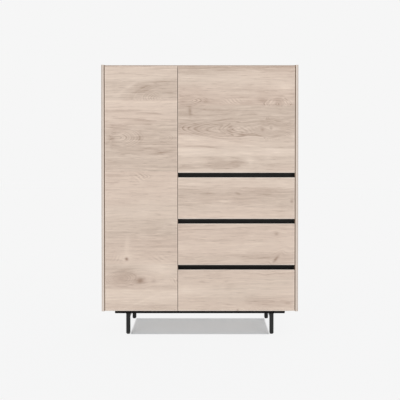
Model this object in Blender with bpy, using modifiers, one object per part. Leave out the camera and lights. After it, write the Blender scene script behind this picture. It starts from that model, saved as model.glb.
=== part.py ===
"""Oak highboard on a low black steel base.

A tall door fills the left column. The right column has an upper door over three
drawers, and black grip rails lie behind the finger grooves between these fronts.
Units are metres, +Z is up, the fronts face -Y, and the origin lies on the floor
under the middle of the cabinet.
"""

import math

import bmesh
import bpy
from mathutils import Matrix, Vector

# Overall sizes
WIDTH = 1.100
DEPTH = 0.450
BODY_HEIGHT = 1.380
BASE_HEIGHT = 0.140

# Carcass panels
SIDE_THICK = 0.016
TOP_THICK = 0.022
BOTTOM_THICK = 0.019
PARTITION_THICK = 0.019
FLOOR_THICK = 0.016
BACK_THICK = 0.006
BACK_REBATE = 0.008
SHELF_THICK = 0.016
SHELF_SETBACK = 0.020
TALL_SHELF_COUNT = 2
UPPER_SHELF_COUNT = 1

# Fronts
FRONT_THICK = 0.019
FRONT_GAP = 0.003
FRONT_STANDOFF = 0.002
TOP_REVEAL = 0.007
BOTTOM_REVEAL = 0.0025
TALL_DOOR_WIDTH = 0.406
DRAWER_FRONT_HEIGHT = 0.233
GROOVE_HEIGHT = 0.0253

# Grip rails behind the grooves
GRIP_OVERLAP = 0.016
GRIP_DEPTH = 0.026
GRIP_SHEET = 0.0015
GRIP_BEND = 0.007
GRIP_BEND_STEPS = 4

# Door hinges
HINGE_AXIS_IN = 0.005
HINGE_AXIS_BACK = 0.004
HINGE_END_INSET = 0.100
TALL_HINGE_COUNT = 3
UPPER_HINGE_COUNT = 2
CUP_RADIUS = 0.0175
CUP_DEPTH = 0.0115
CUP_WALL = 0.0025
CUP_FLOOR = 0.002
CUP_INSET = 0.0225
CUP_SIDES = 32
CUP_PIN_SIDES = 12
FLANGE_HEIGHT = 0.064
FLANGE_WIDTH = 0.026
FLANGE_THICK = 0.0015
FLANGE_CORNER = 0.006
CUP_PIN_RADIUS = 0.0015
CUP_PIN_DEPTH = 0.003
ARM_HEIGHT = 0.012
ARM_THICK = 0.009
ARM_NOSE_WIDTH = 0.009
ARM_NOSE_LENGTH = 0.014
ARM_NOSE_ENTRY = 0.004
ARM_PLATE_START = 0.034
ARM_LENGTH = 0.078
PLATE_HEIGHT = 0.046
PLATE_LENGTH = 0.022
PLATE_THICK = 0.003

# Drawer boxes and runners
DRAWERS = ("top", "middle", "bottom")
DRAWER_SIDE_THICK = 0.013
DRAWER_BACK_THICK = 0.013
DRAWER_BOTTOM_THICK = 0.008
DRAWER_BOTTOM_RAISE = 0.010
DRAWER_GROOVE_DEPTH = 0.006
DRAWER_LOW_CLEARANCE = 0.004
DRAWER_HIGH_CLEARANCE = 0.022
DRAWER_REAR_CLEARANCE = 0.025
RUNNER_SPACE = 0.0127
RUNNER_HEIGHT = 0.045
RUNNER_SHEET = 0.0012
RUNNER_LIP = 0.0045
RUNNER_CHANNEL_DEPTH = 0.0095
RUNNER_SLIDE_DEPTH = 0.0055
RUNNER_SETBACK = 0.003

# Steel base
TUBE = 0.022
RAIL_LENGTH = 0.960
LEG_SPACING = 0.814
BASE_SETBACK = 0.045
TUBE_ROUND = 0.0015
GLIDE_RADIUS = 0.009
GLIDE_HEIGHT = 0.004
GLIDE_SIDES = 24

# Clearances and edges
SEAT = 0.0003
RUNNING = 0.0004
EDGE = 0.0008
CUT_PAST = 0.002

# Planes that the pieces share
HALF_WIDTH = WIDTH / 2
INNER_X = HALF_WIDTH - SIDE_THICK
FRONT_Y = -DEPTH / 2
REAR_Y = DEPTH / 2
FRONT_BACK_Y = FRONT_Y + FRONT_THICK
CARCASS_Y = FRONT_BACK_Y + FRONT_STANDOFF
BACK_Y = REAR_Y - BACK_THICK
INSIDE_REAR_Y = BACK_Y - SEAT
BODY_TOP = BASE_HEIGHT + BODY_HEIGHT
TOP_UNDER = BODY_TOP - TOP_THICK
BOTTOM_UPPER = BASE_HEIGHT + BOTTOM_THICK
FRONT_LOW = BASE_HEIGHT + BOTTOM_REVEAL
FRONT_HIGH = BODY_TOP - TOP_REVEAL
TALL_DOOR_LEFT = -INNER_X + FRONT_GAP
TALL_DOOR_RIGHT = TALL_DOOR_LEFT + TALL_DOOR_WIDTH
COLUMN_LEFT = TALL_DOOR_RIGHT + FRONT_GAP
COLUMN_RIGHT = INNER_X - FRONT_GAP
PARTITION_X = (TALL_DOOR_RIGHT + COLUMN_LEFT) / 2
PARTITION_LEFT = PARTITION_X - PARTITION_THICK / 2
PARTITION_RIGHT = PARTITION_X + PARTITION_THICK / 2
DRAWER_PITCH = DRAWER_FRONT_HEIGHT + GROOVE_HEIGHT
UPPER_DOOR_LOW = FRONT_LOW + len(DRAWERS) * DRAWER_PITCH
FLOOR_LOW = UPPER_DOOR_LOW + GRIP_OVERLAP + SEAT
FLOOR_HIGH = FLOOR_LOW + FLOOR_THICK
LEG_TOP = BASE_HEIGHT - TUBE - 2 * SEAT
RAIL_FRONT_Y = FRONT_Y + BASE_SETBACK
RAIL_REAR_Y = REAR_Y - BASE_SETBACK

BEVEL_SEGMENTS = 2
BEVEL_ANGLE = math.radians(40)
SMOOTH_ANGLE = math.radians(35)
WELD_DISTANCE = 0.00001


def clear_scene():
    """Remove whatever the scene holds before the model is made."""
    for obj in list(bpy.data.objects):
        bpy.data.objects.remove(obj, do_unlink=True)


def make_collection(name):
    """Add a collection to the scene."""
    group = bpy.data.collections.new(name)
    bpy.context.scene.collection.children.link(group)
    return group


def linear(channel):
    """Turn one sRGB channel, 0 to 255, into its linear value."""
    share = channel / 255
    if share <= 0.04045:
        return share / 12.92
    return ((share + 0.055) / 1.055) ** 2.4


def make_material(name, srgb, roughness, metallic):
    """Make a Principled material from an sRGB colour."""
    material = bpy.data.materials.new(name)
    material.use_nodes = True
    shader = material.node_tree.nodes["Principled BSDF"]
    shader.inputs["Base Color"].default_value = (*[linear(c) for c in srgb], 1.0)
    shader.inputs["Roughness"].default_value = roughness
    shader.inputs["Metallic"].default_value = metallic
    return material


clear_scene()
PARTS = make_collection("highboard")
TOOLS = make_collection("highboard_tools")
OAK = make_material("oak_veneer", (210, 193, 178), 0.55, 0.0)
BOARD = make_material("pale_board", (222, 216, 206), 0.60, 0.0)
GRIP_BLACK = make_material("black_anodised", (34, 33, 31), 0.45, 1.0)
BASE_BLACK = make_material("black_steel", (48, 48, 48), 0.50, 0.0)
FITTING = make_material("nickel_steel", (186, 186, 184), 0.30, 1.0)
RUNNER_ZINC = make_material("zinc_steel", (170, 172, 175), 0.38, 1.0)
GLIDE_BLACK = make_material("black_plastic", (26, 26, 26), 0.60, 0.0)


def place(obj, point, carrier=None):
    """Put an object at a world point, hung on its carrier where it has one."""
    obj.parent = carrier
    obj.location = Vector(point) - (carrier.location if carrier else Vector())
    return obj


def add_part(name, mesh, point, material, carrier=None):
    """Add one sub-part made of a finished mesh."""
    obj = bpy.data.objects.new(name, mesh)
    PARTS.objects.link(obj)
    mesh.materials.append(material)
    return place(obj, point, carrier)


def add_tool(name, mesh, point, carrier=None):
    """Add a body that only cuts or joins sub-parts."""
    obj = bpy.data.objects.new(name, mesh)
    TOOLS.objects.link(obj)
    obj.hide_render = True
    obj.display_type = "WIRE"
    return place(obj, point, carrier)


def add_empty(name, point):
    """Add an empty that marks a joint and carries the pieces that move on it."""
    empty = bpy.data.objects.new(name, None)
    PARTS.objects.link(empty)
    return place(empty, point)


def mesh_from(bm, name):
    """Turn a bmesh into a mesh."""
    mesh = bpy.data.meshes.new(name)
    bm.to_mesh(mesh)
    bm.free()
    return mesh


def box_mesh(name, size):
    """Make a box about its own middle."""
    bm = bmesh.new()
    bmesh.ops.create_cube(bm, size=1.0)
    bmesh.ops.scale(bm, vec=size, verts=bm.verts)
    return mesh_from(bm, name)


def rod_mesh(name, radius, length, sides, axis):
    """Make a round rod about its own middle, along Y or Z."""
    bm = bmesh.new()
    bmesh.ops.create_cone(bm, cap_ends=True, segments=sides, radius1=radius, radius2=radius, depth=length)
    if axis == "Y":
        bmesh.ops.rotate(bm, matrix=Matrix.Rotation(math.pi / 2, 3, "X"), verts=bm.verts)
    mesh = mesh_from(bm, name)
    mesh.shade_smooth()
    mesh.set_sharp_from_angle(angle=SMOOTH_ANGLE)
    return mesh


def outline_mesh(name, points, thickness):
    """Extrude a closed flat outline in XY to a solid, centred on its plane."""
    curve = bpy.data.curves.new(name, "CURVE")
    curve.dimensions = "2D"
    curve.fill_mode = "BOTH"
    curve.extrude = thickness / 2
    spline = curve.splines.new("POLY")
    spline.points.add(len(points) - 1)
    for point, (x, y) in zip(spline.points, points):
        point.co = (x, y, 0.0, 1.0)
    spline.use_cyclic_u = True
    outline = bpy.data.objects.new(name, curve)
    TOOLS.objects.link(outline)
    graph = bpy.context.evaluated_depsgraph_get()
    mesh = bpy.data.meshes.new_from_object(outline.evaluated_get(graph))
    bpy.data.objects.remove(outline, do_unlink=True)
    bm = bmesh.new()
    bm.from_mesh(mesh)
    bmesh.ops.remove_doubles(bm, verts=bm.verts, dist=WELD_DISTANCE)
    bm.to_mesh(mesh)
    bm.free()
    return mesh


def strip_mesh(name, path, run):
    """Carry a folded section, a list of points, along one straight run as an open sheet."""
    bm = bmesh.new()
    verts = [bm.verts.new(Vector(point) - Vector(run) / 2) for point in path]
    edges = [bm.edges.new(pair) for pair in zip(verts, verts[1:])]
    swept = bmesh.ops.extrude_edge_only(bm, edges=edges)["geom"]
    moved = [item for item in swept if isinstance(item, bmesh.types.BMVert)]
    bmesh.ops.translate(bm, vec=run, verts=moved)
    return mesh_from(bm, name)


def add_bevel(obj, width=EDGE, segments=1):
    """Ease the sharp edges of a part."""
    bevel = obj.modifiers.new("eased_edges", "BEVEL")
    bevel.width = width
    bevel.segments = segments
    bevel.limit_method = "ANGLE"
    bevel.angle_limit = BEVEL_ANGLE
    return obj


def add_boolean(obj, tool, operation):
    """Cut a part by a tool, or join the tool to it."""
    step = obj.modifiers.new(tool.name, "BOOLEAN")
    step.operation = operation
    step.object = tool
    step.solver = "EXACT"


def add_sheet(obj, thickness):
    """Give an open sheet its wall, centred on the sheet."""
    wall = obj.modifiers.new("wall", "SOLIDIFY")
    wall.thickness = thickness
    wall.offset = 0.0
    wall.use_even_offset = True
    return obj


def add_panel(name, low, high, material, carrier=None):
    """Add a flat panel between two corners."""
    low, high = Vector(low), Vector(high)
    return add_part(name, box_mesh(name, high - low), (low + high) / 2, material, carrier)


def add_box_tool(name, low, high, carrier=None):
    """Add a box that cuts or joins, between two corners."""
    low, high = Vector(low), Vector(high)
    return add_tool(name, box_mesh(name, high - low), (low + high) / 2, carrier)


def spread(low, high, count):
    """Give evenly spread places strictly between two ends."""
    step = (high - low) / (count + 1)
    return [low + step * (index + 1) for index in range(count)]


def spaced(low, high, count):
    """Give evenly spaced places from one end to the other."""
    return [low + (high - low) * index / (count - 1) for index in range(count)]


def arc_points(centre, radius, start, end, steps):
    """Give points along an arc in a plane, ends included."""
    turn = (end - start) / steps
    angles = [start + turn * index for index in range(steps + 1)]
    return [(centre[0] + radius * math.cos(a), centre[1] + radius * math.sin(a)) for a in angles]


def groove_heights():
    """Name each finger groove by the drawer under it, with its lower and upper edge."""
    tops = [UPPER_DOOR_LOW - index * DRAWER_PITCH for index in range(len(DRAWERS))]
    return [(drawer, top - GROOVE_HEIGHT, top) for drawer, top in zip(DRAWERS, tops)]


def build_carcass():
    """Sides, top, bottom, partition, compartment floor, back and shelves."""
    for name, side in (("left_side", -1), ("right_side", 1)):
        edges = sorted((side * HALF_WIDTH, side * INNER_X))
        panel = add_panel(name, (edges[0], FRONT_Y, BASE_HEIGHT), (edges[1], REAR_Y, BODY_TOP), OAK)
        add_bevel(panel)
        cut = sorted((side * (INNER_X + BACK_REBATE), side * (INNER_X - CUT_PAST)))
        low = (cut[0], BACK_Y - SEAT, BASE_HEIGHT - CUT_PAST)
        high = (cut[1], REAR_Y + CUT_PAST, TOP_UNDER)
        add_boolean(panel, add_box_tool(name + "_rebate", low, high), "DIFFERENCE")

    span = INNER_X - SEAT
    add_bevel(add_panel("top_panel", (-span, CARCASS_Y, TOP_UNDER), (span, REAR_Y, BODY_TOP), OAK))
    low = (-span, CARCASS_Y, BASE_HEIGHT)
    high = (span, INSIDE_REAR_Y, BOTTOM_UPPER)
    add_bevel(add_panel("bottom_panel", low, high, OAK))
    low = (PARTITION_LEFT, CARCASS_Y, BOTTOM_UPPER + SEAT)
    high = (PARTITION_RIGHT, INSIDE_REAR_Y, TOP_UNDER - SEAT)
    partition = add_bevel(add_panel("partition", low, high, OAK))
    for drawer, groove_low, groove_high in groove_heights():
        low = (COLUMN_LEFT - SEAT, CARCASS_Y - CUT_PAST, groove_low - GRIP_OVERLAP - SEAT)
        high = (PARTITION_RIGHT + CUT_PAST, CARCASS_Y + GRIP_DEPTH + SEAT, groove_high + GRIP_OVERLAP + SEAT)
        add_boolean(partition, add_box_tool(drawer + "_grip_notch", low, high), "DIFFERENCE")
    low = (PARTITION_RIGHT + SEAT, CARCASS_Y, FLOOR_LOW)
    high = (INNER_X - SEAT, INSIDE_REAR_Y, FLOOR_HIGH)
    add_bevel(add_panel("upper_compartment_floor", low, high, OAK))
    reach = INNER_X + BACK_REBATE - SEAT
    add_panel("back_panel", (-reach, BACK_Y, BASE_HEIGHT), (reach, REAR_Y, TOP_UNDER - SEAT), BOARD)

    build_shelves("tall", -INNER_X, PARTITION_LEFT, BOTTOM_UPPER, TALL_SHELF_COUNT)
    build_shelves("upper", PARTITION_RIGHT, INNER_X, FLOOR_HIGH, UPPER_SHELF_COUNT)


def build_shelves(compartment, left, right, floor, count):
    """Loose shelves, evenly spread in a compartment that ends under the top panel."""
    for index, middle in enumerate(spread(floor, TOP_UNDER, count)):
        name = f"{compartment}_shelf_{index + 1}"
        low = (left + SEAT, CARCASS_Y + SHELF_SETBACK, middle - SHELF_THICK / 2)
        high = (right - SEAT, INSIDE_REAR_Y, middle + SHELF_THICK / 2)
        add_bevel(add_panel(name, low, high, OAK))


def build_grip_rails():
    """Folded black channels, open to the front, behind the finger grooves."""
    half = GRIP_SHEET / 2
    front = CARCASS_Y
    rear = CARCASS_Y + GRIP_DEPTH - half
    left = COLUMN_LEFT
    right = INNER_X - SEAT
    for drawer, groove_low, groove_high in groove_heights():
        high = groove_high + GRIP_OVERLAP - half
        low = groove_low - GRIP_OVERLAP + half
        upper = arc_points((rear - GRIP_BEND, high - GRIP_BEND), GRIP_BEND, math.pi / 2, 0, GRIP_BEND_STEPS)
        lower = arc_points((rear - GRIP_BEND, low + GRIP_BEND), GRIP_BEND, 0, -math.pi / 2, GRIP_BEND_STEPS)
        section = [(front, high), *upper, *lower, (front, low)]
        centre = Vector(((left + right) / 2, (front + rear) / 2, (low + high) / 2))
        path = [Vector((0.0, y - centre.y, z - centre.z)) for y, z in section]
        mesh = strip_mesh(drawer + "_grip", path, (right - left, 0.0, 0.0))
        add_sheet(add_part(drawer + "_drawer_grip_rail", mesh, centre, GRIP_BLACK), GRIP_SHEET)


def build_base():
    """Two rails across, two leg frames from front to back under them, and four glides."""
    for name, front in (("front_rail", RAIL_FRONT_Y), ("rear_rail", RAIL_REAR_Y - TUBE)):
        low = (-RAIL_LENGTH / 2, front, BASE_HEIGHT - SEAT - TUBE)
        high = (RAIL_LENGTH / 2, front + TUBE, BASE_HEIGHT - SEAT)
        add_bevel(add_panel(name, low, high, BASE_BLACK), TUBE_ROUND, BEVEL_SEGMENTS)

    leg_foot = GLIDE_HEIGHT + SEAT
    span = (RAIL_REAR_Y - RAIL_FRONT_Y) / 2
    outer = [(-span, leg_foot), (-span, LEG_TOP), (span, LEG_TOP), (span, leg_foot)]
    arch, crown = span - TUBE, LEG_TOP - TUBE
    inner = [(arch, leg_foot), (arch, crown), (-arch, crown), (-arch, leg_foot)]
    middle_y = (RAIL_FRONT_Y + RAIL_REAR_Y) / 2
    for name, side in (("left", -1), ("right", 1)):
        x = side * LEG_SPACING / 2
        mesh = outline_mesh(name + "_leg_frame", outer + inner, TUBE)
        frame = add_part(name + "_leg_frame", mesh, (x, middle_y, 0.0), BASE_BLACK)
        frame.rotation_euler = (math.pi / 2, 0.0, math.pi / 2)
        add_bevel(frame, TUBE_ROUND, BEVEL_SEGMENTS)
        for end, y in (("front", RAIL_FRONT_Y + TUBE / 2), ("rear", RAIL_REAR_Y - TUBE / 2)):
            glide = rod_mesh(f"{end}_{name}_glide", GLIDE_RADIUS, GLIDE_HEIGHT, GLIDE_SIDES, "Z")
            add_part(f"{end}_{name}_glide", glide, (x, y, GLIDE_HEIGHT / 2), GLIDE_BLACK)


def build_door(name, left, right, low, hinge_side, hinge_count):
    """A door with its hinge cups, hung on an empty on its hinge axis, and the fixed arms."""
    edge = left if hinge_side < 0 else right
    inward = -hinge_side
    axis = add_empty(name + "_axis", (edge + inward * HINGE_AXIS_IN, FRONT_Y + HINGE_AXIS_BACK, low))
    door = add_panel(name, (left, FRONT_Y, low), (right, FRONT_BACK_Y, FRONT_HIGH), OAK, axis)
    add_bevel(door, EDGE, BEVEL_SEGMENTS)
    heights = spaced(low + HINGE_END_INSET, FRONT_HIGH - HINGE_END_INSET, hinge_count)
    for index, height in enumerate(heights):
        hinge = f"{name}_hinge_{index + 1}"
        cup_x = edge + inward * CUP_INSET
        pocket_depth = CUP_DEPTH + SEAT + CUT_PAST
        pocket_y = FRONT_BACK_Y + CUT_PAST - pocket_depth / 2
        pocket = rod_mesh(hinge + "_pocket", CUP_RADIUS + SEAT, pocket_depth, CUP_SIDES, "Y")
        add_boolean(door, add_tool(hinge + "_pocket", pocket, (cup_x, pocket_y, height), axis), "DIFFERENCE")
        build_hinge_cup(hinge, cup_x, inward, height, axis)
        build_hinge_arm(hinge, hinge_side, height)


def build_hinge_cup(hinge, cup_x, inward, height, axis):
    """A pressed cup with its oblong flange on the back of the door and a pin across its bore."""
    flange_y = FRONT_BACK_Y + SEAT + FLANGE_THICK / 2
    half_width, half_height = FLANGE_WIDTH / 2, FLANGE_HEIGHT / 2
    corner = FLANGE_CORNER
    outline = [
        (-half_width, corner - half_height), (corner - half_width, -half_height),
        (half_width - corner, -half_height), (half_width, corner - half_height),
        (half_width, half_height - corner), (half_width - corner, half_height),
        (corner - half_width, half_height), (-half_width, half_height - corner),
    ]
    mesh = outline_mesh(hinge + "_cup", outline, FLANGE_THICK)
    mesh.transform(Matrix.Rotation(math.pi / 2, 4, "X"))
    cup = add_part(hinge + "_cup", mesh, (cup_x, flange_y, height), FITTING, axis)
    back = flange_y + FLANGE_THICK / 2
    body_length = back - (FRONT_BACK_Y - CUP_DEPTH)
    body = rod_mesh(hinge + "_cup_body", CUP_RADIUS, body_length, CUP_SIDES, "Y")
    body_place = (cup_x, back - body_length / 2, height)
    add_boolean(cup, add_tool(hinge + "_cup_body", body, body_place, axis), "UNION")
    bore_length = body_length - CUP_FLOOR + CUT_PAST
    bore = rod_mesh(hinge + "_cup_bore", CUP_RADIUS - CUP_WALL, bore_length, CUP_SIDES, "Y")
    bore_y = back + CUT_PAST - bore_length / 2
    add_boolean(cup, add_tool(hinge + "_cup_bore", bore, (cup_x, bore_y, height), axis), "DIFFERENCE")
    pin_out = ARM_NOSE_WIDTH / 2 + RUNNING + CUP_PIN_RADIUS
    pin_reach = math.sqrt((CUP_RADIUS - CUP_WALL / 2) ** 2 - pin_out ** 2)
    pin = rod_mesh(hinge + "_cup_pin", CUP_PIN_RADIUS, 2 * pin_reach, CUP_PIN_SIDES, "Z")
    pin_place = (cup_x + inward * pin_out, back - CUP_PIN_DEPTH, height)
    add_boolean(cup, add_tool(hinge + "_cup_pin", pin, pin_place, axis), "UNION")


def build_hinge_arm(hinge, hinge_side, height):
    """A cranked arm from its plate on the side panel to a nose that enters the cup beside its pin."""
    inward = -hinge_side
    wall = hinge_side * INNER_X
    root = SEAT + PLATE_THICK
    nose = FRONT_GAP + CUP_INSET
    tip = SEAT + FLANGE_THICK - ARM_NOSE_ENTRY
    knee = tip + ARM_NOSE_LENGTH
    section = [
        (root, ARM_LENGTH), (root, ARM_PLATE_START),
        (nose - ARM_NOSE_WIDTH / 2, knee), (nose - ARM_NOSE_WIDTH / 2, tip),
        (nose + ARM_NOSE_WIDTH / 2, tip), (nose + ARM_NOSE_WIDTH / 2, knee),
        (root + ARM_THICK, ARM_PLATE_START + ARM_THICK), (root + ARM_THICK, ARM_LENGTH),
    ]
    outline = [(inward * across, back) for across, back in section]
    mesh = outline_mesh(hinge + "_arm", outline, ARM_HEIGHT)
    arm = add_part(hinge + "_arm", mesh, (wall, FRONT_BACK_Y, height), FITTING)
    across = sorted((wall + inward * SEAT, wall + inward * (root + ARM_THICK / 2)))
    plate_y = FRONT_BACK_Y + (ARM_PLATE_START + ARM_LENGTH - PLATE_LENGTH) / 2
    low = (across[0], plate_y, height - ARM_HEIGHT / 2)
    high = (across[1], plate_y + PLATE_LENGTH, height + ARM_HEIGHT / 2)
    add_boolean(arm, add_box_tool(hinge + "_saddle", low, high), "UNION")
    across = sorted((wall + inward * SEAT, wall + inward * root))
    low = (across[0], plate_y, height - PLATE_HEIGHT / 2)
    high = (across[1], plate_y + PLATE_LENGTH, height + PLATE_HEIGHT / 2)
    add_boolean(arm, add_box_tool(hinge + "_plate", low, high), "UNION")


def build_drawer(drawer, index):
    """A drawer front with its box and runner members, hung on an empty that slides along Y."""
    low = UPPER_DOOR_LOW - GROOVE_HEIGHT - DRAWER_FRONT_HEIGHT - index * DRAWER_PITCH
    high = low + DRAWER_FRONT_HEIGHT
    name = drawer + "_drawer"
    slide = add_empty(name + "_slide", ((COLUMN_LEFT + COLUMN_RIGHT) / 2, FRONT_Y, low))
    front_low = (COLUMN_LEFT, FRONT_Y, low)
    front_high = (COLUMN_RIGHT, FRONT_BACK_Y, high)
    add_bevel(add_panel(name + "_front", front_low, front_high, OAK, slide), EDGE, BEVEL_SEGMENTS)

    box_low = low + max(GRIP_OVERLAP, BOTTOM_THICK - BOTTOM_REVEAL) + DRAWER_LOW_CLEARANCE
    box_high = high - GRIP_OVERLAP - DRAWER_HIGH_CLEARANCE
    box_front = FRONT_BACK_Y + SEAT
    box_rear = BACK_Y - DRAWER_REAR_CLEARANCE
    left = PARTITION_RIGHT + RUNNER_SPACE
    right = INNER_X - RUNNER_SPACE
    floor_low = box_low + DRAWER_BOTTOM_RAISE
    floor_high = floor_low + DRAWER_BOTTOM_THICK
    for label, outer, inward in (("left", left, 1), ("right", right, -1)):
        inner = outer + inward * DRAWER_SIDE_THICK
        across = sorted((outer, inner))
        side_low = (across[0], box_front, box_low)
        side_high = (across[1], box_rear, box_high)
        side = add_panel(f"{name}_{label}_side", side_low, side_high, BOARD, slide)
        cut = sorted((inner - inward * DRAWER_GROOVE_DEPTH, inner + inward * CUT_PAST))
        cut_low = (cut[0], box_front - CUT_PAST, floor_low - SEAT)
        cut_high = (cut[1], box_rear + CUT_PAST, floor_high + SEAT)
        add_boolean(side, add_box_tool(f"{name}_{label}_groove", cut_low, cut_high, slide), "DIFFERENCE")

    inner_left = left + DRAWER_SIDE_THICK
    inner_right = right - DRAWER_SIDE_THICK
    tongue = DRAWER_GROOVE_DEPTH - SEAT
    low_corner = (inner_left - tongue, box_front, floor_low)
    high_corner = (inner_right + tongue, box_rear, floor_high)
    add_panel(name + "_bottom", low_corner, high_corner, BOARD, slide)
    low_corner = (inner_left + SEAT, box_rear - DRAWER_BACK_THICK, floor_high + SEAT)
    high_corner = (inner_right - SEAT, box_rear, box_high)
    add_panel(name + "_back", low_corner, high_corner, BOARD, slide)
    build_runners(name, slide, (box_low + box_high) / 2, box_rear)


def build_runners(name, slide, height, rear):
    """A lipped channel on each wall of the column, and the folded slide that runs in it."""
    half = RUNNER_SHEET / 2
    channel_rise = RUNNER_HEIGHT / 2 - half
    channel_wall = SEAT + half
    channel_lip = SEAT + RUNNER_CHANNEL_DEPTH - half
    lip_end = channel_rise - RUNNER_LIP
    channel = [(channel_lip, lip_end), (channel_lip, channel_rise), (channel_wall, channel_rise)]
    slide_rise = channel_rise - RUNNER_SHEET - RUNNING
    slide_back = channel_lip - RUNNER_SHEET - RUNNING
    slide_end = slide_back - RUNNER_SLIDE_DEPTH + half
    neck = lip_end - half - RUNNING
    web = RUNNER_SPACE - SEAT - half
    hat = [(slide_end, slide_rise), (slide_back, slide_rise), (slide_back, neck), (web, neck)]

    front = CARCASS_Y + RUNNER_SETBACK
    length = rear - front
    middle_y = (front + rear) / 2
    for label, wall, inward in (("left", PARTITION_RIGHT, 1), ("right", INNER_X, -1)):
        for piece, rise, carrier in (("cabinet_runner", channel, None), ("drawer_runner", hat, slide)):
            section = rise + [(across, -up) for across, up in reversed(rise)]
            path = [Vector((inward * across, 0.0, up)) for across, up in section]
            mesh = strip_mesh(f"{name}_{label}_{piece}", path, (0.0, length, 0.0))
            part = add_part(f"{name}_{label}_{piece}", mesh, (wall, middle_y, height), RUNNER_ZINC, carrier)
            add_sheet(part, RUNNER_SHEET)


build_carcass()
build_grip_rails()
build_base()
build_door("tall_door", TALL_DOOR_LEFT, TALL_DOOR_RIGHT, FRONT_LOW, -1, TALL_HINGE_COUNT)
build_door("upper_door", COLUMN_LEFT, COLUMN_RIGHT, UPPER_DOOR_LOW, 1, UPPER_HINGE_COUNT)
for drawer_index, drawer_name in enumerate(DRAWERS):
    build_drawer(drawer_name, drawer_index)
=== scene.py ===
"""Looks of the oak highboard: veneer, black steel base, black grip rails and metal fittings.

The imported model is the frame. Its nodes keep their meshes and get procedural finishes, and the
small fittings are surfaces worked out as arrays on grids. Units are metres, the fronts face -Y.
"""

import math
from functools import cache

import bmesh
import bpy
import numpy as np
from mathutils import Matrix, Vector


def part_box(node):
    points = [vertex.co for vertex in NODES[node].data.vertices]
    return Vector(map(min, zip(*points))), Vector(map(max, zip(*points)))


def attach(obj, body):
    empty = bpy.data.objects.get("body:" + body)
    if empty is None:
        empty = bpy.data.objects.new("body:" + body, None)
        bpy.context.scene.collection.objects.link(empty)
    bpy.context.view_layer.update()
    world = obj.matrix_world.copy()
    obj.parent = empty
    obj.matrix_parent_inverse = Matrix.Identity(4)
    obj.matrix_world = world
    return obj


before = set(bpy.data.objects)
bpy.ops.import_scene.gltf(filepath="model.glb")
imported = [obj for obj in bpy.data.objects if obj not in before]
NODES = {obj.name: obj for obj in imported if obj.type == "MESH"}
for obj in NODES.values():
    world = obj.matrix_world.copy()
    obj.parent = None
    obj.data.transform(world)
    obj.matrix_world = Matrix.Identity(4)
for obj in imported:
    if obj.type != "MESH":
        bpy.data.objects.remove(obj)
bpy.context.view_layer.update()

# View of the photograph, whose frame is square
PHOTO_PIXELS = 400
AXIS_ROW = 151.8
AXIS_COLUMN = 204.82
CAMERA_DISTANCE = 3.8
CAMERA_ASIDE = 0.028
CAMERA_HEIGHT = 1.0944
CAMERA_TILT = math.radians(0.9)
VIEW_WIDTH_AT_FRONT = 2.2337
SENSOR_WIDTH = 36.0

# Light and stage
PAGE_WHITE = (246, 246, 246)
FLOOR_COLOUR = (241, 246, 250)
WORLD_STRENGTH = 0.73
FLOOR_GLOW = 0.325
FLOOR_GLOW_FALL = 0.196
FLOOR_GLOW_SLOPE = 0.22
FLOOR_PALE = 0.965
FLOOR_PAGE_REACH = 2.6
SHADOW_HALF_WIDTH = 0.388
SHADOW_MIDDLE = -0.010
SHADOW_HALF_DEPTH = 0.1665
SHADOW_FADE = 0.012
FLOOR_REACH = 14.0
FLOOR_DROP = 0.0002
# Soft square lamps by name, place and power
LAMPS = (
    ("key_light", (-2.6, -4.2, 3.4), 56.0),
    ("fill_light", (2.8, -3.6, 2.2), 28.0),
    ("back_light", (1.8, 4.4, 3.2), 55.0))
LAMP_TARGET = (0.0, 0.0, 0.8)
LAMP_SIZE = 2.6
# Places of a Mix node's colour sockets: the share, the two colours and the result
MIX_SHARE, MIX_FIRST, MIX_SECOND, MIX_RESULT = 0, 6, 7, 2


def linear(srgb):
    """Turn an sRGB colour in 0 to 255 steps into the linear colour a shader takes."""
    share = np.asarray(srgb, float) / 255
    curve = np.where(share <= 0.04045, share / 12.92, ((share + 0.055) / 1.055) ** 2.4)
    return (*[float(c) for c in curve], 1.0)


class Field:
    """A socket of a node tree; arithmetic on it adds Math nodes."""

    def __init__(self, finish, socket):
        self.finish = finish
        self.socket = socket

    def math(self, operation, *others):
        return self.finish.node("ShaderNodeMath", [self, *others], {"operation": operation})

    def __add__(self, other):
        return self.math("ADD", other)

    __radd__ = __add__

    def __sub__(self, other):
        return self.math("SUBTRACT", other)

    def __rsub__(self, other):
        return self.finish.node("ShaderNodeMath", [other, self], {"operation": "SUBTRACT"})

    def __mul__(self, other):
        return self.math("MULTIPLY", other)

    __rmul__ = __mul__

    def __truediv__(self, other):
        return self.math("DIVIDE", other)

    def __rtruediv__(self, other):
        return self.finish.node("ShaderNodeMath", [other, self], {"operation": "DIVIDE"})

    def __neg__(self):
        return self.math("MULTIPLY", -1.0)

    def __pow__(self, power):
        return self.math("POWER", power)

    def above(self, edge):
        return self.math("GREATER_THAN", edge)

    def below(self, edge):
        return self.math("LESS_THAN", edge)

    def rise(self, low, high):
        """Go smoothly from 0 at low to 1 at high."""
        return self.finish.node(
            "ShaderNodeMapRange", {"Value": self, "From Min": low, "From Max": high},
            {"interpolation_type": "SMOOTHSTEP"})


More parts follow.
